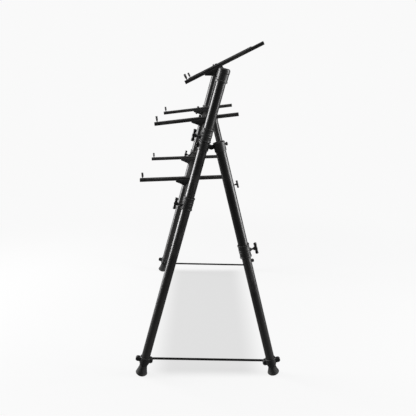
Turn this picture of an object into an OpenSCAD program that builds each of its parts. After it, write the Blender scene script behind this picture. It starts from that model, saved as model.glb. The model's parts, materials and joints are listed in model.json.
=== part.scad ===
// Three-tier A-frame keyboard stand: two side frames joined by three crossbars,
// with two arms on each crossbar. X is the width, the player stands on the -Y side.

/* [Side frames] */
// Distance between the centre lines of the two front legs
frame_w = 1200; // [900:10:1500]
// Distance between front and rear leg centre lines, measured on the floor
stance = 596; // [460:2:720]
// Lean of the front legs from vertical
front_lean = 15.5; // [12:0.5:20]
// Length of a front leg, from the floor to the top of its cap
front_leg_l = 1372; // [1180:2:1650]
// Outer diameter of the legs and crossbars
tube_d = 38.1; // [32:0.1:42]
// Wall of the legs and crossbars
tube_wall = 1.6; // [1:0.1:2.5]
// Distance from the top of a front leg down to its hinge pin
hinge_drop = 304; // [240:2:420]
// Length of a rear leg's outer tube below the hinge pin
rear_outer_l = 443; // [340:1:560]
// Length of the rear leg's inner tube that is hidden in the outer one
rear_overlap = 150; // [110:5:220]

/* [Tiers] */
// Distance along the front leg from the hinge pin down to the lower tier
low_drop = 246; // [100:2:400]
// Gap between the hinge band and the middle tier's collar
mid_gap = 1.5; // [1:0.5:60]
// Distance between the arms of one tier
arm_gap = 562; // [400:2:700]
// Length of an arm without its caps
arm_l = 356; // [300:2:440]
// Thickness of an arm, seen from the side
arm_h = 16; // [14:1:20]
// Width of an arm, seen from above
arm_w = 24; // [20:1:30]
// Height of the arm centre line above the crossbar centre line
arm_rise = 36; // [34:0.5:42]
// Tilt of the top arms
top_tilt = 26; // [0:1:35]
// Tilt of the middle arms
mid_tilt = 6.5; // [0:0.5:20]
// Tilt of the lower arms
low_tilt = 2; // [0:0.5:20]
// Length of a middle or lower arm in front of its crossbar
arm_front = 213; // [180:1:250]
// Length of a top arm in front of its crossbar
top_arm_front = 138; // [110:1:200]
// Height of the stop peg above an arm
peg_h = 26; // [18:1:36]

/* [Collars and knobs] */
// Height of a crossbar collar
collar_h = 54; // [46:1:60]
// Wall of a collar around its tube
collar_wall = 3; // [2.4:0.1:4]
// Length of the bar of a T-knob
knob_bar_l = 49; // [36:1:52]
// Distance from the tube centre line to the bar of a T-knob
knob_reach = 49; // [44:1:58]
// Diameter of the stud of a T-knob
knob_stud_d = 8; // [6:0.5:10]
// Height of a tier collar's centre above its T-knob
knob_drop = 13; // [0:0.5:15]

/* [Hinge] */
// Radius of the hinge knuckles
knuckle_r = 8; // [7:0.5:10]
// Diameter of the hinge pin
pin_d = 8; // [6:0.5:10]

/* [Feet] */
// Largest diameter of a rubber foot
foot_d = 52; // [46:1:60]
// Height of the front foot collars' lower edge
front_neck = 50; // [44:1:60]
// Height of the rear foot collars' lower edge
rear_neck = 40; // [36:1:52]
// Height of a foot collar
foot_collar_h = 42; // [36:1:50]

/* [Hidden] */

$fn = 96;
right = 1;
left = -1;

fit_gap = 0.08;         // radial clearance of a running fit
part_gap = 0.5;         // space between pieces that move past each other
ring_edge = 1;          // chamfer on collar rims
knob_bar_r = 6.3;
boss_d = 15;
tube_r = tube_d / 2;
outer_d = tube_d + 2 * (tube_wall + fit_gap);   // rear leg's outer tube, which the inner one slides in
outer_r = outer_d / 2;
collar_r = tube_r + collar_wall;
rim_r = collar_r + 1.6;
socket_r = tube_r + collar_wall + 1;

// The head cap
cap_h = 54;
cap_top = 3;
cap_round = 8;
head_station = front_leg_l - 27;
hinge_station = front_leg_l - hinge_drop;
low_station = hinge_station - low_drop;
leg_bottom = front_neck + 6;
leg_tube_l = front_leg_l - cap_top - leg_bottom;

// Crossbars end just inside the sockets on the collars
socket_wall = 3;
bar_end_gap = tube_r + socket_wall + 1;
socket_l = 40;
crossbar_l = frame_w - 2 * (bar_end_gap + part_gap);

// The hinge, and the rear leg's line, which runs from the hinge pin to the floor
band_h = 33;
cheek_in = 7.3;
cheek_t = 6;
tongue_t = 2 * (cheek_in - part_gap);
hinge_reach = collar_r + knuckle_r + 1;
rear_reach = outer_r + collar_wall + knuckle_r + part_gap;
pin_rise = 4;           // the pin sits above the middle of its band
mid_station = hinge_station - pin_rise + band_h / 2 + mid_gap + collar_h / 2;
hinge_y = -stance / 2 + hinge_station * sin(front_lean) + hinge_reach * cos(front_lean);
hinge_z = hinge_station * cos(front_lean) - hinge_reach * sin(front_lean);
hinge_far = norm([stance / 2 - hinge_y, hinge_z]);
rear_lean = atan2(stance / 2 - hinge_y, hinge_z) - asin(rear_reach / hinge_far);
rear_hinge_station = sqrt(hinge_far * hinge_far - rear_reach * rear_reach);
clamp_h = 38;
clamp_top = rear_hinge_station + 14;
rear_collar_h = 58;
sleeve_split = 12;      // the outer tube ends this far above the middle of its collar
outer_bottom = rear_hinge_station - rear_outer_l;
rear_collar_station = outer_bottom - sleeve_split;
inner_bottom = rear_neck + 6;
rear_inner_l = outer_bottom + rear_overlap - inner_bottom;

// Foot collars and the spreader bar between their ears
spigot_d = 22;
neck_r = 17;
neck_taper = 12;
ear_r = 11.5;
front_ear_y = collar_r + 2;
front_ear_s = front_neck + 22;
rear_ear_y = -collar_r - 4;
rear_ear_s = rear_neck + 17;
ear_face = tube_r + 5;
ear_depth = ear_face - 4;
bar_t = 5;
bar_h = 9;
bar_in = ear_face + part_gap;
screw_d = 6;
screw_head_d = 13;
screw_head_h = 4;
screw_hold = 12;
front_ear = [-stance / 2 + front_ear_s * sin(front_lean) + front_ear_y * cos(front_lean),
             front_ear_s * cos(front_lean) - front_ear_y * sin(front_lean)];
rear_ear = [stance / 2 - rear_ear_s * sin(rear_lean) + rear_ear_y * cos(rear_lean),
            rear_ear_s * cos(rear_lean) + rear_ear_y * sin(rear_lean)];
spreader_l = norm(rear_ear - front_ear);
spreader_angle = atan2(rear_ear[1] - front_ear[1], rear_ear[0] - front_ear[0]);

// Arms, in a frame with the crossbar on X and the arm along Y
arm_round = 5;
arm_wall = 1.5;
arm_under = arm_rise - arm_h / 2;
saddle_front = 64;
saddle_wall = 4;
saddle_w = 34;
jaw_t = 4;
jaw_w = 26;
jaw_seat = tube_r + jaw_t + 1;
bolt_d = 6;
bolt_head_d = 11;
bolt_head_h = 5.5;
cap_l = 8;
front_cap_l = 18;
peg_back = 13;          // the stop peg stands this far behind the front end
peg_d = 10;

module tube(d, wall, l) {
    difference() {
        cylinder(d = d, h = l);
        translate([0, 0, -1]) cylinder(d = d - 2 * wall, h = l + 2);
    }
}

module rod_x(r, l) {
    rotate([0, 90, 0]) cylinder(r = r, h = l, center = true);
}

// Cylinder along Z with a chamfer at both rims
module rimmed(r, h) {
    rotate_extrude() polygon([[0, 0], [r - ring_edge, 0], [r, ring_edge],
                              [r, h - ring_edge], [r - ring_edge, h], [0, h]]);
}

// Leg frames: Z runs up the leg from the floor, Y points to the rear
module on_front(side, s = 0) {
    translate([side * frame_w / 2, -stance / 2, 0]) rotate([-front_lean, 0, 0]) translate([0, 0, s]) children();
}

module on_rear(side, s = 0) {
    translate([side * frame_w / 2, stance / 2, 0]) rotate([rear_lean, 0, 0]) translate([0, 0, s]) children();
}

// The outside of a clamping collar: a sleeve with two end rims and two ribs
module collar_body(h, r) {
    cylinder(r = r, h = h, center = true);
    for (end = [-1, 1]) translate([0, 0, end * (h / 2 - 3)]) translate([0, 0, -3]) rimmed(r + 1.6, 6);
    for (rib = [-5, 5]) translate([0, 0, rib]) cylinder(r = r + 1, h = 2.4, center = true);
}

// A round boss on the front of a collar, which the T-knob is threaded through
module knob_boss(r, dir) {
    rotate([-dir * 90, 0, 0]) cylinder(d = boss_d, h = r + 5);
}

module knob_bore(dir) {
    rotate([-dir * 90, 0, 0]) cylinder(r = knob_stud_d / 2 + fit_gap, h = knob_reach);
}

// Crossbar collar, round a front leg, with the crossbar's socket on its inner side
module crossbar_collar(side, s, h) {
    color("#1b1b1d") on_front(side, s) difference() {
        union() {
            collar_body(h, collar_r);
            translate([0, 0, -knob_drop]) knob_boss(collar_r, -1);
            translate([-side * (tube_r + 1), 0, 0]) rotate([0, -side * 90, 0]) cylinder(r = socket_r, h = socket_l);
        }
        cylinder(r = tube_r + fit_gap, h = h + 2, center = true);
        translate([-side * bar_end_gap, 0, 0]) rotate([0, -side * 90, 0])
            cylinder(r = tube_r + fit_gap, h = socket_l + 10);
        translate([0, 0, -knob_drop]) knob_bore(-1);
    }
}

// T-knob: a round cross handle on a stud, with its stud along -Y
module t_knob(reach, from) {
    stud = reach - from;
    rotate([90, 0, 0]) translate([0, 0, from]) cylinder(d = knob_stud_d, h = stud);
    rotate([90, 0, 0]) translate([0, 0, reach - 11]) cylinder(d = 14, h = 10);
    translate([0, -reach, -knob_bar_l / 2]) rimmed(knob_bar_r, knob_bar_l);
}

module front_knob(side, s) {
    color("#141415") on_front(side, s - knob_drop) t_knob(knob_reach, tube_r + part_gap);
}

module rear_knob(side) {
    color("#141415") on_rear(side, rear_collar_station) mirror([0, 1, 0]) t_knob(knob_reach, tube_r + part_gap);
}

module front_leg(side) {
    color("#202124") on_front(side, leg_bottom) tube(tube_d, tube_wall, leg_tube_l);
}

// Cap on the top of a front leg, with the top crossbar's socket
module head_cap(side) {
    color("#1b1b1d") on_front(side) difference() {
        union() {
            translate([0, 0, front_leg_l - cap_h]) rotate_extrude() polygon(concat(
                [[0, 0], [rim_r, 0], [rim_r, 6], [collar_r, 7], [collar_r, cap_h - 20], [collar_r + 1, cap_h - 19],
                 [collar_r + 1, cap_h - cap_round]],
                [for (a = [15:15:90]) [collar_r + 1 - cap_round * (1 - cos(a)), cap_h - cap_round * (1 - sin(a))]],
                [[0, cap_h]]));
            translate([-side * (tube_r + 1), 0, head_station]) rotate([0, -side * 90, 0])
                cylinder(r = socket_r, h = socket_l);
        }
        translate([0, 0, front_leg_l - cap_h - 1]) cylinder(r = tube_r, h = cap_h + 1 - cap_top);
        translate([-side * bar_end_gap, 0, head_station]) rotate([0, -side * 90, 0])
            cylinder(r = tube_r + fit_gap, h = socket_l + 10);
    }
}

// Band round a front leg with the two cheeks of the hinge and a bolted front lug
module hinge_band(side) {
    color("#18181a") on_front(side, hinge_station - pin_rise) difference() {
        union() {
            translate([0, 0, -band_h / 2]) rimmed(collar_r, band_h);
            for (x = [-1, 1]) translate([x * (cheek_in + cheek_t / 2), 0, pin_rise]) {
                translate([0, hinge_reach, 0]) rod_x(knuckle_r, cheek_t);
                translate([0, hinge_reach / 2, 0]) cube([cheek_t, hinge_reach, 2 * knuckle_r], center = true);
            }
            translate([0, -collar_r - 2, 0]) cube([20, 12, 18], center = true);
        }
        cylinder(r = tube_r, h = band_h + 2, center = true);
        translate([0, hinge_reach, pin_rise]) rod_x(pin_d / 2, 60);
        translate([0, -tube_r - 5, 0]) cube([4, 14, band_h + 2], center = true);
        translate([0, -collar_r - 4.5, 0]) rod_x(2.5, 30);
    }
}

module hinge_pins() {
    head = 2.5;
    half = cheek_in + cheek_t;
    color("#3a3a3c") for (side = [left, right]) on_front(side, hinge_station) translate([0, hinge_reach, 0]) {
        rod_x(pin_d / 2, 2 * half);
        for (x = [-1, 1]) translate([x * (half + head / 2), 0, 0]) rod_x(pin_d / 2 + 2, head);
    }
}

module band_bolts() {
    color("#3a3a3c") for (side = [left, right]) on_front(side, hinge_station - pin_rise)
        translate([0, -collar_r - 4.5, 0]) {
            rod_x(2.5, 20);
            for (x = [-1, 1]) translate([x * 11.5, 0, 0]) rotate([0, 90, 0])
                cylinder(d = 9, h = 3, center = true, $fn = 6);
        }
}

// Cap with two ears at the bottom of a leg; the spreader bar is screwed to the round ear
module foot_collar(side, s, ear_y, ear_s) {
    out = ear_y > 0 ? -1 : 1;
    difference() {
        union() {
            translate([0, 0, s]) cylinder(r1 = neck_r, r2 = collar_r, h = neck_taper);
            translate([0, 0, s + neck_taper]) cylinder(r = collar_r, h = foot_collar_h - neck_taper);
            translate([0, 0, s + foot_collar_h - 6]) rimmed(collar_r + 1.2, 6);
            translate([-side * (ear_face - ear_depth / 2), ear_y, ear_s]) rod_x(ear_r, ear_depth);
            translate([-side * (ear_face - ear_depth / 2), ear_y * 0.6, ear_s])
                cube([ear_depth, abs(ear_y) * 0.8, 2 * ear_r - 4], center = true);
            translate([0, out * (tube_r + 7), s + 26]) cube([16, 18, 20], center = true);
            translate([0, out * (tube_r + 13), s + 26]) rod_x(10, 16);
        }
        translate([0, 0, s + 6]) cylinder(r = tube_r, h = foot_collar_h);
        translate([-side * ear_face, ear_y, ear_s]) rod_x(screw_d / 2 + fit_gap, 2 * screw_hold + 2);
    }
    translate([0, 0, s - 8]) cylinder(d = spigot_d, h = 9);
}

module front_foot_collar(side) {
    color("#1b1b1d") on_front(side) foot_collar(side, front_neck, front_ear_y, front_ear_s);
}

module rear_foot_collar(side) {
    color("#1b1b1d") on_rear(side) foot_collar(side, rear_neck, rear_ear_y, rear_ear_s);
}

// Rubber bell with a domed sole and a socket for the collar's spigot
module foot_bell(top) {
    rim = foot_d / 2;
    rim_top = 13.5;
    difference() {
        rotate_extrude() polygon(concat(
            [[0, -2], [rim - 14, -1.5], [rim - 6, 2.5], [rim - 1, 7], [rim, 10], [rim - 1, rim_top]],
            [for (t = [0.1:0.1:1]) [neck_r + (rim - 1 - neck_r) * pow(1 - t, 1.4), rim_top + (top - rim_top) * t]],
            [[0, top]]));
        translate([0, 0, top - 8]) cylinder(d = spigot_d, h = 9);
    }
}

module standing(side, rear) {
    intersection() {
        union() {
            if (rear) on_rear(side) children();
            else on_front(side) children();
        }
        translate([-frame_w, -stance, 0]) cube([2 * frame_w, 2 * stance, 200]);
    }
}

module front_feet() {
    color("#2a2b2c") for (side = [left, right]) standing(side, false) foot_bell(front_neck);
}

module rear_foot(side) {
    color("#2a2b2c") standing(side, true) foot_bell(rear_neck);
}

module rear_upper_tube(side) {
    color("#202124") on_rear(side, outer_bottom) difference() {
        cylinder(r = outer_r, h = clamp_top - cap_top - outer_bottom);
        translate([0, 0, -1]) cylinder(r = tube_r + fit_gap, h = clamp_top);
    }
}

// Cap on the rear leg's top, with the hinge tongue and the clamp knob's hole
module rear_top_clamp(side) {
    r = outer_r + collar_wall;
    color("#18181a") on_rear(side) difference() {
        union() {
            translate([0, 0, clamp_top - clamp_h]) rimmed(r, clamp_h);
            translate([0, -rear_reach, rear_hinge_station]) rod_x(knuckle_r, tongue_t);
            translate([0, -rear_reach / 2, rear_hinge_station])
                cube([tongue_t, rear_reach, 2 * knuckle_r], center = true);
        }
        translate([0, 0, clamp_top - clamp_h - 1]) cylinder(r = outer_r, h = clamp_h + 1 - cap_top);
        translate([0, -rear_reach, rear_hinge_station]) rod_x(pin_d / 2 + fit_gap, 40);
        translate([0, 0, rear_hinge_station]) rotate([-90, 0, 0]) cylinder(r = 3 + fit_gap, h = 60);
    }
}

// Sleeve at the lower end of the outer tube: its top half grips that tube, its knob the inner one
module rear_collar(side) {
    r = outer_r + collar_wall;
    color("#1b1b1d") on_rear(side, rear_collar_station) difference() {
        union() {
            collar_body(rear_collar_h, r);
            knob_boss(r, 1);
        }
        translate([0, 0, sleeve_split]) cylinder(r = outer_r, h = rear_collar_h);
        cylinder(r = tube_r + fit_gap, h = rear_collar_h + 2, center = true);
        knob_bore(1);
    }
}

// Round knob on a stud, which grips the rear leg's outer tube in its top clamp
module clamp_knob(side) {
    ball_r = 7;
    ball_deep = 5.5;
    ball_at = outer_r + collar_wall + part_gap + ball_deep * sin(60);
    color("#141415") on_rear(side, rear_hinge_station) rotate([-90, 0, 0]) rotate_extrude() polygon(concat(
        [[0, outer_r + part_gap], [3, outer_r + part_gap], [3, ball_at - ball_deep * sin(60)]],
        [for (a = [-60:12:72]) [ball_r * cos(a), ball_at + ball_deep * sin(a)]],
        [[0, ball_at + ball_deep]]));
}

module rear_lower_tube(side) {
    color("#202124") on_rear(side, inner_bottom) tube(tube_d, tube_wall, rear_inner_l);
}

// Flat bar between the foot collars' ears, with an eye at each end
module spreader_bar(side) {
    eye_r = 8;
    x = side * (frame_w / 2 - bar_in - bar_t / 2);
    color("#1d1e20") translate([x, front_ear[0], front_ear[1]]) rotate([spreader_angle, 0, 0]) difference() {
        union() {
            translate([0, spreader_l / 2, 0]) cube([bar_t, spreader_l, bar_h], center = true);
            for (y = [0, spreader_l]) translate([0, y, 0]) rod_x(eye_r, bar_t);
        }
        for (y = [0, spreader_l]) translate([0, y, 0]) rod_x(screw_d / 2, bar_t + 1);
    }
}

// The front screw is the bar's pivot in the front ear; the rear one stays in the bar
module spreader_screws(side) {
    x = side * (frame_w / 2 - bar_in - bar_t - screw_head_h);
    color("#3a3a3c") for (at = [[0, bar_t + screw_hold], [spreader_l, bar_t]])
        translate([x, front_ear[0], front_ear[1]]) rotate([spreader_angle, 0, 0]) translate([0, at[0], 0])
            rotate([0, side * 90, 0]) {
                cylinder(d = screw_head_d, h = screw_head_h);
                cylinder(d = screw_d, h = screw_head_h + at[1]);
            }
}

// Tier frames: the crossbar lies on X, and the arms run along Y before they are tilted
module on_tier(s) {
    translate([0, -stance / 2 + s * sin(front_lean), s * cos(front_lean)]) children();
}

module at_arms(s, tilt) {
    on_tier(s) rotate([tilt, 0, 0]) for (side = [left, right]) translate([side * arm_gap / 2, 0, 0]) children();
}

// Crossbar, with the holes that the arms' bolts pass through
module crossbar(s, tilt) {
    color("#202124") difference() {
        on_tier(s) translate([-crossbar_l / 2, 0, 0]) rotate([0, 90, 0]) tube(tube_d, tube_wall, crossbar_l);
        at_arms(s, tilt) cylinder(d = bolt_d, h = 3 * tube_r, center = true);
    }
}

// Tube or bar with an arm's rounded section, along Y
module arm_bar(l, wall = 0) {
    w = arm_w - 2 * wall;
    h = arm_h - 2 * wall;
    r = arm_round - wall;
    rotate([-90, 0, 0]) linear_extrude(l) union() {
        square([w - 2 * r, h], center = true);
        square([w, h - 2 * r], center = true);
        for (x = [-1, 1], y = [-1, 1]) translate([x * (w / 2 - r), y * (h / 2 - r)]) circle(r = r);
    }
}

module arms(s, tilt, front) {
    color("#242528") at_arms(s, tilt) difference() {
        translate([0, -front, arm_rise]) arm_bar(arm_l);
        translate([0, -front - 1, arm_rise]) arm_bar(arm_l + 2, arm_wall);
        cylinder(d = bolt_d, h = 2 * arm_rise);
    }
}

// Wedge under an arm, with a half-round seat on the crossbar
module saddles(s, tilt) {
    color("#1b1b1d") at_arms(s, tilt) difference() {
        rotate([90, 0, 90]) translate([0, 0, -saddle_w / 2]) linear_extrude(saddle_w) polygon([
            [-saddle_front, arm_under + 6], [-saddle_front, arm_under - 4], [-tube_r - 5, 4], [-tube_r - 5, 0.5],
            [tube_r + saddle_wall, 0.5], [tube_r + saddle_wall, arm_under + 6]]);
        translate([0, -saddle_front - 1, arm_rise]) arm_bar(saddle_front + tube_r + saddle_wall + 2);
        rod_x(tube_r, saddle_w + 2);
        cylinder(d = bolt_d, h = 2 * arm_rise);
        for (x = [-1, 1]) translate([x * (saddle_w / 2 + 3), -tube_r - 21, arm_under - 10]) cube([12, 22, 9], center = true);
    }
}

// Lower half of an arm's clamp, with a flat seat for the bolt's nut
module jaws(s, tilt) {
    color("#1b1b1d") at_arms(s, tilt) difference() {
        union() {
            rod_x(tube_r + jaw_t, jaw_w);
            translate([0, 0, -jaw_seat]) cylinder(d = 14, h = jaw_t);
        }
        rod_x(tube_r, jaw_w + 2);
        translate([0, 0, 50]) cube([jaw_w + 2, 100, 100], center = true);
        translate([0, 0, -2 * tube_r]) cylinder(d = bolt_d, h = 2 * tube_r);
    }
}

// Moulded ends of an arm: the front one carries the stop peg
module arm_cap(l, with_peg) {
    translate([0, -l, 0]) arm_bar(l);
    translate([0, -1, 0]) arm_bar(12, arm_wall);
    if (with_peg) translate([0, peg_back - l, 0]) {
        cylinder(d = 5, h = arm_h / 2 + 8);
        translate([0, 0, arm_h / 2 + 6]) rimmed(peg_d / 2, peg_h - 6);
    }
}

module arm_caps(s, tilt, front) {
    color("#141415") at_arms(s, tilt) {
        translate([0, -front, arm_rise]) arm_cap(front_cap_l, true);
        translate([0, arm_l - front, arm_rise]) mirror([0, 1, 0]) arm_cap(cap_l, false);
    }
}

module arm_bolts(s, tilt) {
    shank_top = arm_rise + arm_h / 2;
    color("#3a3a3c") at_arms(s, tilt) {
        translate([0, 0, shank_top]) cylinder(d = bolt_head_d, h = bolt_head_h, $fn = 6);
        translate([0, 0, -jaw_seat - 5]) cylinder(d = bolt_d, h = shank_top + jaw_seat + 5);
        translate([0, 0, -jaw_seat - 4]) cylinder(d = 10, h = 4, $fn = 6);
    }
}

front_leg(right);  // front_leg_r
front_leg(left);  // front_leg_l
head_cap(right);  // head_cap_r
head_cap(left);  // head_cap_l
hinge_band(right);  // hinge_band_r
hinge_band(left);  // hinge_band_l
front_foot_collar(right);  // front_foot_collar_r
front_foot_collar(left);  // front_foot_collar_l
front_feet();
hinge_pins();
band_bolts();
crossbar_collar(right, mid_station, collar_h);  // mid_collar_r
crossbar_collar(left, mid_station, collar_h);  // mid_collar_l
crossbar_collar(right, low_station, collar_h);  // low_collar_r
crossbar_collar(left, low_station, collar_h);  // low_collar_l
front_knob(right, mid_station);  // mid_knob_r
front_knob(left, mid_station);  // mid_knob_l
front_knob(right, low_station);  // low_knob_r
front_knob(left, low_station);  // low_knob_l
rear_knob(right);  // rear_knob_r
rear_knob(left);  // rear_knob_l
rear_upper_tube(right);  // rear_upper_tube_r
rear_upper_tube(left);  // rear_upper_tube_l
rear_top_clamp(right);  // rear_top_clamp_r
rear_top_clamp(left);  // rear_top_clamp_l
rear_collar(right);  // rear_collar_r
rear_collar(left);  // rear_collar_l
clamp_knob(right);  // clamp_knob_r
clamp_knob(left);  // clamp_knob_l
rear_lower_tube(right);  // rear_lower_tube_r
rear_lower_tube(left);  // rear_lower_tube_l
rear_foot_collar(right);  // rear_foot_collar_r
rear_foot_collar(left);  // rear_foot_collar_l
rear_foot(right);  // rear_foot_r
rear_foot(left);  // rear_foot_l
spreader_bar(right);  // spreader_bar_r
spreader_bar(left);  // spreader_bar_l
spreader_screws(right);  // spreader_screws_r
spreader_screws(left);  // spreader_screws_l
crossbar(head_station, top_tilt);  // top_crossbar
arms(head_station, top_tilt, top_arm_front);  // top_arms
saddles(head_station, top_tilt);  // top_saddles
jaws(head_station, top_tilt);  // top_jaws
arm_caps(head_station, top_tilt, top_arm_front);  // top_arm_caps
arm_bolts(head_station, top_tilt);  // top_arm_bolts
crossbar(mid_station, mid_tilt);  // mid_crossbar
arms(mid_station, mid_tilt, arm_front);  // mid_arms
saddles(mid_station, mid_tilt);  // mid_saddles
jaws(mid_station, mid_tilt);  // mid_jaws
arm_caps(mid_station, mid_tilt, arm_front);  // mid_arm_caps
arm_bolts(mid_station, mid_tilt);  // mid_arm_bolts
crossbar(low_station, low_tilt);  // low_crossbar
arms(low_station, low_tilt, arm_front);  // low_arms
saddles(low_station, low_tilt);  // low_saddles
jaws(low_station, low_tilt);  // low_jaws
arm_caps(low_station, low_tilt, arm_front);  // low_arm_caps
arm_bolts(low_station, low_tilt);  // low_arm_bolts
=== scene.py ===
import json
import math

import bpy
from mathutils import Matrix, Vector


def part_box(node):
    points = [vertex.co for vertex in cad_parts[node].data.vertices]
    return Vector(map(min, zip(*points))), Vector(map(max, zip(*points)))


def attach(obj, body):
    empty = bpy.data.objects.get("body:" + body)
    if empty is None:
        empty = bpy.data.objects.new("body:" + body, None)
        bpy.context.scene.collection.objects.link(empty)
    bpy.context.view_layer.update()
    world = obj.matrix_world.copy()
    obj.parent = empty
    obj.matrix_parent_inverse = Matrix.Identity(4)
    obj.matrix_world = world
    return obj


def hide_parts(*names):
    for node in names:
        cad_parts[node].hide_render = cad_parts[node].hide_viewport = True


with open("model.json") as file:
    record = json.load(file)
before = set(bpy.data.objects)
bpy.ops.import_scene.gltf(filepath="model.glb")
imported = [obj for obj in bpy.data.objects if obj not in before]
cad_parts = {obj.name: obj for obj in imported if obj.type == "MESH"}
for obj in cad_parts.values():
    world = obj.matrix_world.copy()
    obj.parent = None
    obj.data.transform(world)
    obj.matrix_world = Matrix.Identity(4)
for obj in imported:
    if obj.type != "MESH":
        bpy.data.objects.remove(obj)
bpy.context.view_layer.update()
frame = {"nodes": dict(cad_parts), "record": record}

nodes = frame["nodes"]
record = frame["record"]
bodyOf = {n: b for b, group in record["behaviour"]["bodies"].items() for n in group}
jointOf = {j["name"]: j for j in record["behaviour"]["joints"]}
bpy.context.scene.view_settings.view_transform = "Standard"
print("frame loaded:", len(nodes), "nodes")


# lines and angles of the stand

def middle(name):
    low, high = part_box(name)
    return (Vector(low) + Vector(high)) / 2


def standAxis(joint):
    # turns a local Z-up piece so that its Y lies along the joint's axis
    along = Vector(jointOf[joint]["axis"]).normalized()
    side = Vector((1, 0, 0))
    turn = Matrix((side, along, side.cross(along))).transposed().to_4x4()
    return Matrix.Translation(Vector(jointOf[joint]["pos_m"])) @ turn


legLean = math.asin(jointOf["mid_height"]["axis"][1])
rearLean = math.asin(jointOf["rear_length_r"]["axis"][1])
legSide = jointOf["mid_knob_r_turn"]["pos_m"][0]


# looks: one class wraps a shader socket, so that shader sums read as plain ones

class Wire:
    def __init__(self, look, out):
        self.look, self.out = look, out

    def sum(self, kind, other=0.0):
        return self.look.add("ShaderNodeMath", {"operation": kind}, {0: self, 1: other})

    def __add__(self, other): return self.sum("ADD", other)
    def __radd__(self, other): return self.sum("ADD", other)
    def __sub__(self, other): return self.sum("SUBTRACT", other)
    def __mul__(self, other): return self.sum("MULTIPLY", other)
    def __pow__(self, other): return self.sum("POWER", other)

    def between(self, low, high, start=0.0, end=1.0):  # soft step from low to high
        ends = {"Value": self, "From Min": low, "From Max": high, "To Min": start, "To Max": end}
        return self.look.add("ShaderNodeMapRange", {"interpolation_type": "SMOOTHSTEP"}, ends)

    def most(self, other): return self.sum("MAXIMUM", other)


class Look:
    def __init__(self, name):
        self.material = bpy.data.materials.new(name)
        self.material.use_nodes = True
        self.tree = self.material.node_tree
        self.shader = self.tree.nodes["Principled BSDF"]

    def add(self, kind, settings=None, values=None, out=0):
        made = self.tree.nodes.new(kind)
        for key, value in (settings or {}).items():
            setattr(made, key, value)
        for key, value in (values or {}).items():
            self.join(made.inputs[key], value)
        return Wire(self, made.outputs[out])

    def join(self, socket, value):
        if isinstance(value, Wire):
            self.tree.links.new(value.out, socket)
        else:
            socket.default_value = value

    def place(self, at=(0, 0, 0), turn=(0, 0, 0), scale=(1, 1, 1)):
        # object coordinates, set along a piece's own axis
        spot = self.add("ShaderNodeTexCoord", out=3)
        lined = self.add("ShaderNodeMapping", {"vector_type": "TEXTURE"},
                         {"Vector": spot, "Location": at, "Rotation": turn})
        if scale == (1, 1, 1):
            return lined
        return self.add("ShaderNodeMapping", {"vector_type": "POINT"}, {"Vector": lined, "Scale": scale})

    def noise(self, spot, scale, detail=2.0, rough=0.5):
        return self.add("ShaderNodeTexNoise", {},
                        {"Vector": spot, "Scale": scale, "Detail": detail, "Roughness": rough})

    def cells(self, spot, scale):
        return self.add("ShaderNodeTexVoronoi", {"feature": "F1"}, {"Vector": spot, "Scale": scale})

    def part(self, spot, index):  # one coordinate of a place
        return self.add("ShaderNodeSeparateXYZ", {}, {"Vector": spot}, index)

    def up(self):  # how far a face looks up
        normal = self.add("ShaderNodeNewGeometry", out=1)
        return self.part(normal, 2)

    def tint(self, under, over, mask):
        return self.add("ShaderNodeMix", {"data_type": "RGBA"}, {0: mask, 6: under, 7: over}, 2)

    def bump(self, height, strength, depth, under=None):
        values = {"Height": height, "Strength": strength, "Distance": depth}
        if under is not None:
            values["Normal"] = under
        return self.add("ShaderNodeBump", {}, values)

    def wear(self, **values):
        for key, value in values.items():
            self.join(self.shader.inputs[key.replace("_", " ")], value)
        return self.material


def grey(level, warm=0.0):
    return (level * (1 + warm), level, level * (1 - warm), 1)


# in each look: greys, then noise scales, then how much of a layer shows and how deep its bumps are
# one pale grey here and its share paint light bounced from the floor onto the lower legs
powder = {"tone": 0.0045, "pale": 0.008, "rough": 0.31, "shine": 0.5, "dust": 0.06, "scuff": 0.05,
          "paintedBounce": 0.03, "cloud": 9, "peel": 620, "speck": 2600, "patches": 30,
          "scratch": (900, 900, 14), "ring": (60, 60, 1400), "scuffMix": 0.75, "dustMix": 0.18,
          "paintedBounceMix": 0.6, "fade": (0.012, 0.006), "skin": (0.07, 0.00025), "scored": (0.2, 0.0002)}


def tubeLook(name, at, turn, worn=(), bounceReach=0.0):
    # satin powder coat on a tube, with lengthwise rubs where a collar slides
    look = Look(name)
    spot = look.place(at, turn)
    along = look.part(spot, 2)
    cloud = look.noise(spot, powder["cloud"], 4, 0.6)
    peel = look.noise(spot, powder["peel"], 2, 0.5)
    speck = look.noise(spot, powder["speck"], 1, 0.5)
    lines = look.noise(look.place(at, turn, powder["scratch"]), 1, 3, 0.6)
    rings = look.noise(look.place(at, turn, powder["ring"]), 1, 2, 0.5)
    rubbed = lines.between(0.62, 0.78) * 0.08
    outside, inside = powder["fade"]
    for low, high in worn:
        zone = (along.between(low - outside, low + inside)
                * along.between(high - inside, high + outside, 1.0, 0.0))
        rubbed = rubbed.most(zone * lines.between(0.47, 0.64))
    dust = look.up().between(0.05, 0.95) * look.noise(spot, powder["patches"], 3, 0.6).between(0.3, 0.8)
    colour = look.tint(grey(powder["tone"]), grey(powder["pale"]), cloud.between(0.35, 0.7))
    colour = look.tint(colour, grey(powder["scuff"], 0.03), rubbed * powder["scuffMix"])
    colour = look.tint(colour, grey(powder["dust"], 0.06), dust * powder["dustMix"])
    if bounceReach:  # painted light bounced from the floor: the leg paler near the floor, fading out up the leg
        paintedBounce = along.between(0.0, bounceReach, 1.0, 0.0) * (0.55 + cloud * 0.45)
        colour = look.tint(colour, grey(powder["paintedBounce"], 0.05), paintedBounce * powder["paintedBounceMix"])
    rough = powder["rough"] + cloud * 0.09 + dust * 0.25 - rubbed * 0.1
    skin = look.bump(peel * 0.8 + speck * 0.25, *powder["skin"])
    skin = look.bump(rings * rubbed + lines * rubbed, *powder["scored"], skin)
    return look.wear(Base_Color=colour, Roughness=rough, Normal=skin, Specular_IOR_Level=powder["shine"])


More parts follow.
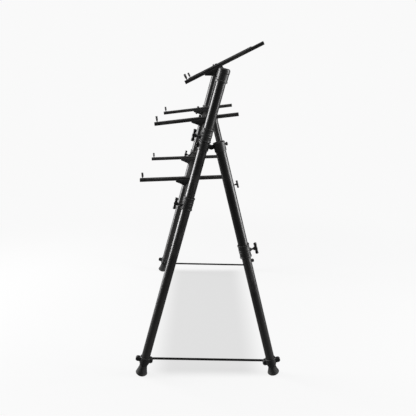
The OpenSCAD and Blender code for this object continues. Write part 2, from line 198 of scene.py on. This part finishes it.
plastic = {"tone": 0.005, "pale": 0.009, "rough": 0.42, "shine": 0.5, "dust": 0.075, "rub": 0.03,
           "grain": 1500, "fine": 3400, "cloud": 24, "flow": (30, 30, 140), "patches": 80, "handled": 130,
           "rubMix": 0.35, "dustMix": 0.34, "skin": (0.11, 0.0002), "wavy": (0.05, 0.0006)}


def plasticLook(name, tone=1.0, gloss=0.0, grain=1.0):
    # moulded plastic: fine grain, faint flow marks, dust on the upper faces
    look = Look(name)
    spot = look.place()
    grainBumps = look.cells(spot, plastic["grain"])
    fine = look.noise(spot, plastic["fine"], 2, 0.6)
    cloud = look.noise(spot, plastic["cloud"], 4, 0.6)
    flow = look.noise(look.place(scale=plastic["flow"]), 1, 3, 0.55)
    dust = look.up().between(0.2, 0.95) * look.noise(spot, plastic["patches"], 5, 0.7).between(0.38, 0.72)
    handled = look.noise(spot, plastic["handled"], 4, 0.65).between(0.6, 0.72)
    colour = look.tint(grey(plastic["tone"] * tone), grey(plastic["pale"] * tone), cloud * 0.6 + flow * 0.4)
    colour = look.tint(colour, grey(plastic["rub"]), handled * plastic["rubMix"])
    colour = look.tint(colour, grey(plastic["dust"], 0.06), dust * plastic["dustMix"])
    rough = plastic["rough"] - gloss + cloud * 0.1 + dust * 0.2 - handled * 0.07
    strength, depth = plastic["skin"]
    skin = look.bump(grainBumps * 0.8 + fine * 0.4, strength * grain, depth)
    skin = look.bump(flow, *plastic["wavy"], skin)
    return look.wear(Base_Color=colour, Roughness=rough, Normal=skin, Specular_IOR_Level=plastic["shine"])


rubber = {"tone": 0.008, "pale": 0.016, "soil": 0.09, "scuff": 0.045, "rough": 0.7, "shine": 0.4,
          "cloud": 60, "pores": 900, "fine": 2600, "patches": 190, "rub": (160, 160, 900),
          "scuffMix": 0.45, "soilMix": 0.6, "soilTop": 0.016, "skin": (0.35, 0.0003)}


def rubberLook(name):
    # foot rubber, greyer and dustier towards the floor
    look = Look(name)
    spot = look.place()
    height = look.part(spot, 2)
    cloud = look.noise(spot, rubber["cloud"], 5, 0.65)
    pores = look.cells(spot, rubber["pores"])
    fine = look.noise(spot, rubber["fine"], 2, 0.6)
    soil = (height.between(0.001, rubber["soilTop"], 1.0, 0.0)
            * look.noise(spot, rubber["patches"], 5, 0.7).between(0.3, 0.66))
    scuffed = look.noise(look.place(scale=rubber["rub"]), 1, 3, 0.6).between(0.6, 0.72)
    colour = look.tint(grey(rubber["tone"]), grey(rubber["pale"]), cloud.between(0.3, 0.7))
    colour = look.tint(colour, grey(rubber["scuff"], 0.02), scuffed * rubber["scuffMix"])
    colour = look.tint(colour, grey(rubber["soil"], 0.1), soil * rubber["soilMix"])
    rough = rubber["rough"] + cloud * 0.12 + soil * 0.12
    skin = look.bump(pores * 0.6 + fine * 0.5, *rubber["skin"])
    return look.wear(Base_Color=colour, Roughness=rough, Normal=skin, Specular_IOR_Level=rubber["shine"])


steel = {"tone": 0.035, "pale": 0.07, "bare": 0.3, "rough": 0.34,
         "cloud": 220, "patches": 170, "turning": (4200, 260, 260), "bareMix": 0.35, "skin": (0.16, 0.0001)}


def steelLook(name):
    # black-oxide steel with fine turning lines, rubbed a little bare
    look = Look(name)
    spot = look.place()
    cloud = look.noise(spot, steel["cloud"], 4, 0.6)
    turning = look.noise(look.place(scale=steel["turning"]), 1, 2, 0.5)
    rubbed = look.noise(spot, steel["patches"], 5, 0.7).between(0.6, 0.74)
    colour = look.tint(grey(steel["tone"]), grey(steel["pale"]), cloud)
    colour = look.tint(colour, grey(steel["bare"], 0.02), rubbed * steel["bareMix"])
    rough = steel["rough"] + turning * 0.12 + cloud * 0.15
    skin = look.bump(turning, *steel["skin"])
    return look.wear(Base_Color=colour, Roughness=rough, Metallic=1.0, Normal=skin)


def paint(name, material):
    nodes[name].data.materials.clear()
    nodes[name].data.materials.append(material)


# where each kind of tube is rubbed along its length, and how far up its painted floor-bounce light reaches
rubs = {"frontLeg": [(1.02, 1.14), (0.60, 0.94)], "shin": [(0.42, 0.60)], "arm": [(-0.2, 0.15)],
        "crossbar": [(-0.31, -0.25), (0.25, 0.31)], "spreader": [(-0.27, -0.235), (0.235, 0.27)],
        "frontBounceReach": 0.8, "shinBounceReach": 0.6}
armTilt = {"top": 26, "mid": 6.5, "low": 2}  # degrees, as the arms stand at rest
sides = {"r": 1, "l": -1}
knobTurn = {"mid_knob_": 0, "low_knob_": 0, "rear_knob_": math.pi}  # the rear ones face backwards
collars = ("hinge_band_", "rear_top_clamp_", "rear_collar_", "mid_collar_", "low_collar_",
           "front_foot_collar_", "rear_foot_collar_")
blackPlastic = plasticLook("black_moulding")
saddlePlastic = plasticLook("saddle_moulding", tone=1.25, gloss=-0.03, grain=1.2)
capPlastic = plasticLook("cap_moulding", tone=1.1, gloss=0.04)
knobPlastic = plasticLook("knob_moulding", tone=0.9, gloss=0.12, grain=0.7)
footRubber = rubberLook("foot_rubber")
blackSteel = steelLook("black_steel")
frontAt = Vector(jointOf["low_knob_r_turn"]["pos_m"])
frontFootY = frontAt.y - frontAt.z * math.tan(legLean)
rearAt = Vector(jointOf["rear_knob_r_turn"]["pos_m"])
rearFootY = rearAt.y + rearAt.z * math.tan(-rearLean)

for end, sign in sides.items():
    frontFoot = (sign * legSide, frontFootY, 0)
    rearFoot = (sign * legSide, rearFootY, 0)
    paint("front_leg_" + end, tubeLook("front_leg_coat_" + end, frontFoot, (-legLean, 0, 0),
                                       rubs["frontLeg"], rubs["frontBounceReach"]))
    paint("rear_upper_tube_" + end, tubeLook("rear_leg_coat_" + end, rearFoot, (-rearLean, 0, 0)))
    paint("rear_lower_tube_" + end, tubeLook("rear_shin_coat_" + end, rearFoot, (-rearLean, 0, 0),
                                             rubs["shin"], rubs["shinBounceReach"]))
    paint("spreader_bar_" + end, tubeLook("spreader_coat_" + end, middle("spreader_bar_" + end),
                                          (math.pi / 2, 0, 0), rubs["spreader"]))
    for name in collars:
        paint(name + end, blackPlastic)
    paint("head_cap_" + end, capPlastic)
    for name in (*knobTurn, "clamp_knob_"):
        paint(name + end, knobPlastic)
    paint("rear_foot_" + end, footRubber)
    paint("spreader_screws_" + end, blackSteel)
paint("front_feet", footRubber)
paint("hinge_pins", blackSteel)
paint("band_bolts", blackSteel)
for tier, tilt in armTilt.items():
    centre = Vector(jointOf[tier + "_tilt"]["pos_m"])
    paint(tier + "_crossbar", tubeLook(tier + "_crossbar_coat", centre, (0, math.pi / 2, 0),
                                       rubs["crossbar"]))
    paint(tier + "_arms", tubeLook(tier + "_arm_coat", centre, (math.radians(tilt) - math.pi / 2, 0, 0),
                                   rubs["arm"]))
    paint(tier + "_saddles", saddlePlastic)
    paint(tier + "_jaws", saddlePlastic)
    paint(tier + "_arm_caps", capPlastic)
    paint(tier + "_arm_bolts", blackSteel)
print("looks given to the carried-over nodes")


# tools for the modelled pieces

def pickNothing():
    bpy.ops.object.select_all(action="DESELECT")


def pick(piece):
    pickNothing()
    piece.select_set(True)
    bpy.context.view_layer.objects.active = piece


def weld():
    # in edit mode: joins doubled corners, turns the faces outward and leaves the mode
    bpy.ops.mesh.select_all(action="SELECT")
    bpy.ops.mesh.remove_doubles(threshold=1e-6)
    bpy.ops.mesh.normals_make_consistent(inside=False)
    bpy.ops.object.mode_set(mode="OBJECT")


def turned(name, rings, corners):
    # lathe work: a circle pulled up through rings of (height, radius), closed at both ends
    pickNothing()
    height, radius = rings[0]
    bpy.ops.mesh.primitive_circle_add(vertices=corners, radius=radius, fill_type="NGON",
                                      location=(0, 0, height))
    piece = bpy.context.object
    piece.name = name
    bpy.ops.object.transform_apply()
    bpy.ops.object.mode_set(mode="EDIT")
    bpy.ops.mesh.select_all(action="SELECT")
    for nextHeight, nextRadius in rings[1:]:
        bpy.ops.mesh.extrude_region_move(TRANSFORM_OT_translate={"value": (0, 0, nextHeight - height)})
        grow = nextRadius / radius
        bpy.ops.transform.resize(value=(grow, grow, 1), center_override=(0, 0, nextHeight))
        height, radius = nextHeight, nextRadius
    weld()
    return piece


def put(piece, matrix):
    pick(piece)
    piece.matrix_world = matrix
    bpy.ops.object.transform_apply(location=True, rotation=True, scale=True)


def copyOf(piece, name):
    twin = piece.copy()
    twin.data = piece.data.copy()
    twin.name = name
    twin.parent = None
    twin.matrix_world = Matrix.Identity(4)
    bpy.context.collection.objects.link(twin)
    return twin


def joined(name, pieces):
    pickNothing()
    for piece in pieces:
        piece.select_set(True)
    bpy.context.view_layer.objects.active = pieces[0]
    bpy.ops.object.join()
    pieces[0].name = name
    return pieces[0]


def change(piece, kind, **settings):
    pick(piece)
    step = piece.modifiers.new(kind.lower(), kind)
    for key, value in settings.items():
        setattr(step, key, value)
    bpy.ops.object.modifier_apply(modifier=step.name)


def melted(piece, voxel, rounds, keep):
    # rounds every edge and inner corner as a mould does
    change(piece, "REMESH", mode="VOXEL", voxel_size=voxel)
    change(piece, "SMOOTH", factor=0.5, iterations=rounds)
    change(piece, "DECIMATE", ratio=keep)
    pick(piece)
    bpy.ops.object.shade_smooth()


def fit(piece, material, *stoodFor):
    piece.data.materials.clear()
    piece.data.materials.append(material)
    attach(piece, bodyOf[stoodFor[0]])
    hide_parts(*stoodFor)


# moulded pieces: softened copies of their CAD solids

moulding = {"voxel": 0.0009, "rounds": 4, "fineVoxel": 0.0007, "fineRounds": 3, "keep": 0.28, "quickEdge": 30}


def mouldedCopy(name, material, voxel=moulding["voxel"], rounds=moulding["rounds"]):
    piece = copyOf(nodes[name], name + "_moulded")
    pick(piece)
    bpy.ops.object.mode_set(mode="EDIT")
    weld()
    melted(piece, voxel, rounds, moulding["keep"])
    fit(piece, material, name)


for end in sides:
    mouldedCopy("head_cap_" + end, capPlastic)
    for name in collars:
        mouldedCopy(name + end, blackPlastic)
for tier in armTilt:
    mouldedCopy(tier + "_saddles", saddlePlastic)
    mouldedCopy(tier + "_jaws", saddlePlastic)
    mouldedCopy(tier + "_arm_caps", capPlastic, moulding["fineVoxel"], moulding["fineRounds"])
print("moulded pieces done")


# T-knobs: a waisted cross bar on a stepped hub and a stud

tKnob = {"bar": 0.0245, "end": 0.0068, "waist": 0.0058, "reach": 0.049, "hub": 0.0074, "stud": 0.004,
         "from": 0.0196, "corners": 40, "voxel": 0.00055, "rounds": 3, "keep": 0.4}


def tKnobPiece():
    k = tKnob
    half = [(0.009, k["waist"]), (0.015, 0.0063), (k["bar"] - 0.0034, k["end"]),
            (k["bar"] - 0.0011, 0.0059), (k["bar"], 0.0038)]
    bar = turned("knob_bar", [(-z, r) for z, r in half[::-1]] + half, k["corners"])
    hub = turned("knob_hub", [(-0.0064, 0.0034), (-0.0058, 0.0050), (0.0015, 0.0066), (0.005, 0.0067),
                              (0.0085, k["hub"]), (0.0102, k["hub"]), (0.0112, 0.0060), (0.0116, k["stud"]),
                              (k["reach"] - k["from"], k["stud"])], k["corners"])
    put(bar, Matrix.Translation((0, -k["reach"], 0)))
    put(hub, Matrix.Translation((0, -k["reach"], 0)) @ Matrix.Rotation(-math.pi / 2, 4, "X"))
    change(bar, "BOOLEAN", operation="UNION", object=hub, solver="EXACT")
    bpy.data.objects.remove(hub)
    melted(bar, k["voxel"], k["rounds"], k["keep"])
    return bar


firstKnob = tKnobPiece()
for end in sides:
    for place, turn in knobTurn.items():
        node = place + end
        knob = copyOf(firstKnob, node + "_handle")
        put(knob, standAxis(node + "_turn") @ Matrix.Rotation(turn, 4, "Z"))
        fit(knob, knobPlastic, node)
bpy.data.objects.remove(firstKnob)
print("T-knobs done")


# clamp knobs: a flattened ball on a stud, with grooves round its side

ballKnob = {"radius": 0.0073, "deep": 0.0054, "from": 0.0213, "ball": 0.0291, "stud": 0.003, "neck": 0.0042,
            "bow": range(-72, 85, 12), "grooves": 14, "cut": 0.0008, "cutHalf": 0.004, "cutOut": 0.0002,
            "cutCorners": 10, "corners": 48, "edge": 40}


def clampKnobPiece():
    k = ballKnob
    bow = [math.radians(a) for a in k["bow"]]
    rings = [(k["from"], k["stud"]), (k["ball"] - 0.0056, k["stud"]), (k["ball"] - 0.0055, k["neck"]),
             (k["ball"] - 0.0051, k["neck"])]
    rings += [(k["ball"] + k["deep"] * math.sin(a), k["radius"] * math.cos(a)) for a in bow]
    piece = turned("ball_knob", rings, k["corners"])
    for step in range(k["grooves"]):
        around = 2 * math.pi * step / k["grooves"]
        rod = [(k["ball"] - k["cutHalf"], k["cut"]), (k["ball"] + k["cutHalf"], k["cut"])]
        groove = turned("groove", rod, k["cutCorners"])
        put(groove, Matrix.Rotation(around, 4, "Z") @ Matrix.Translation((k["radius"] + k["cutOut"], 0, 0)))
        change(piece, "BOOLEAN", operation="DIFFERENCE", object=groove, solver="EXACT")
        bpy.data.objects.remove(groove)
    pick(piece)
    bpy.ops.object.shade_smooth_by_angle(angle=math.radians(k["edge"]))
    return piece


firstKnob = clampKnobPiece()
for end in sides:
    node = "clamp_knob_" + end
    knob = copyOf(firstKnob, node + "_ball")
    put(knob, standAxis(node + "_turn") @ Matrix.Rotation(-math.pi / 2, 4, "X"))
    fit(knob, knobPlastic, node)
bpy.data.objects.remove(firstKnob)
print("clamp knobs done")


# rubber feet: a ribbed bell with a domed sole, cut flat where it stands

foot = {"rim": 0.026, "neck": 0.017, "rimTop": 0.0135, "frontTop": 0.050, "rearTop": 0.040, "flare": 1.4,
        "groove": 0.0006, "grooved": range(3, 14, 3), "steps": 24, "corners": 72, "edge": 38}


def bellFoot(name, top, lean, at):
    rings = [(-0.002, 0.003), (-0.0018, 0.012), (0.0004, 0.0175), (0.0032, 0.0215), (0.0066, 0.0247),
             (0.0092, foot["rim"]), (0.0108, foot["rim"]), (0.0125, foot["rim"] - 0.0008)]
    for step in range(1, foot["steps"] + 1):
        share = step / foot["steps"]
        radius = foot["neck"] + (foot["rim"] - 0.001 - foot["neck"]) * (1 - share) ** foot["flare"]
        cut = foot["groove"] if step in foot["grooved"] else 0
        rings.append((foot["rimTop"] + (top - foot["rimTop"]) * share, radius - cut))
    rings.append((top + 0.0002, foot["neck"] - 0.006))
    piece = turned(name, rings, foot["corners"])
    put(piece, Matrix.Translation(at) @ Matrix.Rotation(lean, 4, "X"))
    pick(piece)
    bpy.ops.object.mode_set(mode="EDIT")
    bpy.ops.mesh.select_all(action="SELECT")
    bpy.ops.mesh.bisect(plane_co=(0, 0, 0), plane_no=(0, 0, 1), use_fill=True, clear_inner=True)
    bpy.ops.mesh.select_all(action="SELECT")
    bpy.ops.mesh.normals_make_consistent(inside=False)
    bpy.ops.object.mode_set(mode="OBJECT")
    bpy.ops.object.shade_smooth_by_angle(angle=math.radians(foot["edge"]))
    return piece


pair = [bellFoot("front_foot_bell_" + end, foot["frontTop"], -legLean, (sign * legSide, frontFootY, 0))
        for end, sign in sides.items()]
fit(joined("front_foot_bells", pair), footRubber, "front_feet")
for end, sign in sides.items():
    bell = bellFoot("rear_foot_bell_" + end, foot["rearTop"], -rearLean, (sign * legSide, rearFootY, 0))
    fit(bell, footRubber, "rear_foot_" + end)
print("feet done")


# light, floor and camera

# the floor glows evenly, except for a soft painted shade under the stand
studio = {"size": 60, "air": 0.948, "bounce": 0.09, "floorBase": 0.06, "floorGlow": 0.862, "far": 0.948,
          "paintedShade": 0.2, "fadeX": (0.56, 0.64), "fadeY": (0.15, 0.31), "fadeOut": (0.95, 2.4)}
lamps = {
    "overhead": {"at": (0.4, 0, 4.2), "towards": (0, 0, 0.5), "size": (3.2, 3.2), "power": 60},
    "frontEdge": {"at": (-0.5, -3.0, 1.3), "towards": (0.3, -0.1, 0.7), "size": (1.8, 2.4), "power": 230},
    "rearEdge": {"at": (0.7, 3.0, 1.4), "towards": (0.3, 0.1, 0.7), "size": (1.3, 2.4), "power": 150},
}


def areaLight(name, at, towards, size, power):
    light = bpy.data.lights.new(name, "AREA")
    light.shape, light.size, light.size_y, light.energy = "RECTANGLE", size[0], size[1], power
    stand = bpy.data.objects.new(name, light)
    bpy.context.collection.objects.link(stand)
    stand.location = at
    stand.rotation_euler = (Vector(towards) - Vector(at)).to_track_quat("-Z", "Y").to_euler()


for name, lamp in lamps.items():
    areaLight(name, **lamp)

world = bpy.data.worlds.new("studioAir")
bpy.context.scene.world = world
world.use_nodes = True  # the camera sees a bright room, and the stand is lit by a dimmer one
airTree = world.node_tree
seen = airTree.nodes.new("ShaderNodeLightPath")
amount = airTree.nodes.new("ShaderNodeMapRange")
amount.inputs["To Min"].default_value = studio["bounce"]
amount.inputs["To Max"].default_value = studio["air"]
airTree.links.new(seen.outputs["Is Camera Ray"], amount.inputs["Value"])
airTree.links.new(amount.outputs["Result"], airTree.nodes["Background"].inputs["Strength"])
airTree.nodes["Background"].inputs["Color"].default_value = (1, 1, 1, 1)

bpy.ops.mesh.primitive_plane_add(size=studio["size"], location=(0, 0, 0))
floor = bpy.context.object
floor.name = "studio_floor"
floorLook = Look("floor_paper")
floorSpot = floorLook.place()
across, deep = floorLook.part(floorSpot, 0), floorLook.part(floorSpot, 1)
away = (across * across + deep * deep) ** 0.5
farOff = away.between(*studio["fadeOut"])
paintedShade = (across.sum("ABSOLUTE").between(*studio["fadeX"], 1.0, 0.0)
        * deep.sum("ABSOLUTE").between(*studio["fadeY"], 1.0, 0.0))  # the soft shade under the stand, painted into the floor's glow
glow = floorLook.tint(grey(studio["floorGlow"]), grey(studio["far"]), farOff)
glow = floorLook.tint(glow, grey(studio["floorGlow"] - studio["paintedShade"]), paintedShade)
base = floorLook.tint(grey(studio["floorBase"]), grey(0), farOff)
floor.data.materials.append(floorLook.wear(Base_Color=base, Roughness=1.0, Specular_IOR_Level=0.0,
                                           Emission_Color=glow, Emission_Strength=1.0))
floor.visible_glossy = False  # the black coat stays deep over the pale floor

shot = {"at": (2.5888, -0.0136, 1.3256), "pitch": 15.55, "yaw": -0.504, "roll": 0.0573,
        "lens": 43.79, "sensor": 36}
camera = bpy.data.cameras.new("camera")
camera.sensor_width, camera.lens = shot["sensor"], shot["lens"]
cameraStand = bpy.data.objects.new("camera", camera)
bpy.context.collection.objects.link(cameraStand)
cameraStand.location = shot["at"]
cameraStand.rotation_euler = [math.radians(a) for a in (90 - shot["pitch"], shot["roll"], 90 + shot["yaw"])]
bpy.context.scene.camera = cameraStand
print("light, floor and camera set")
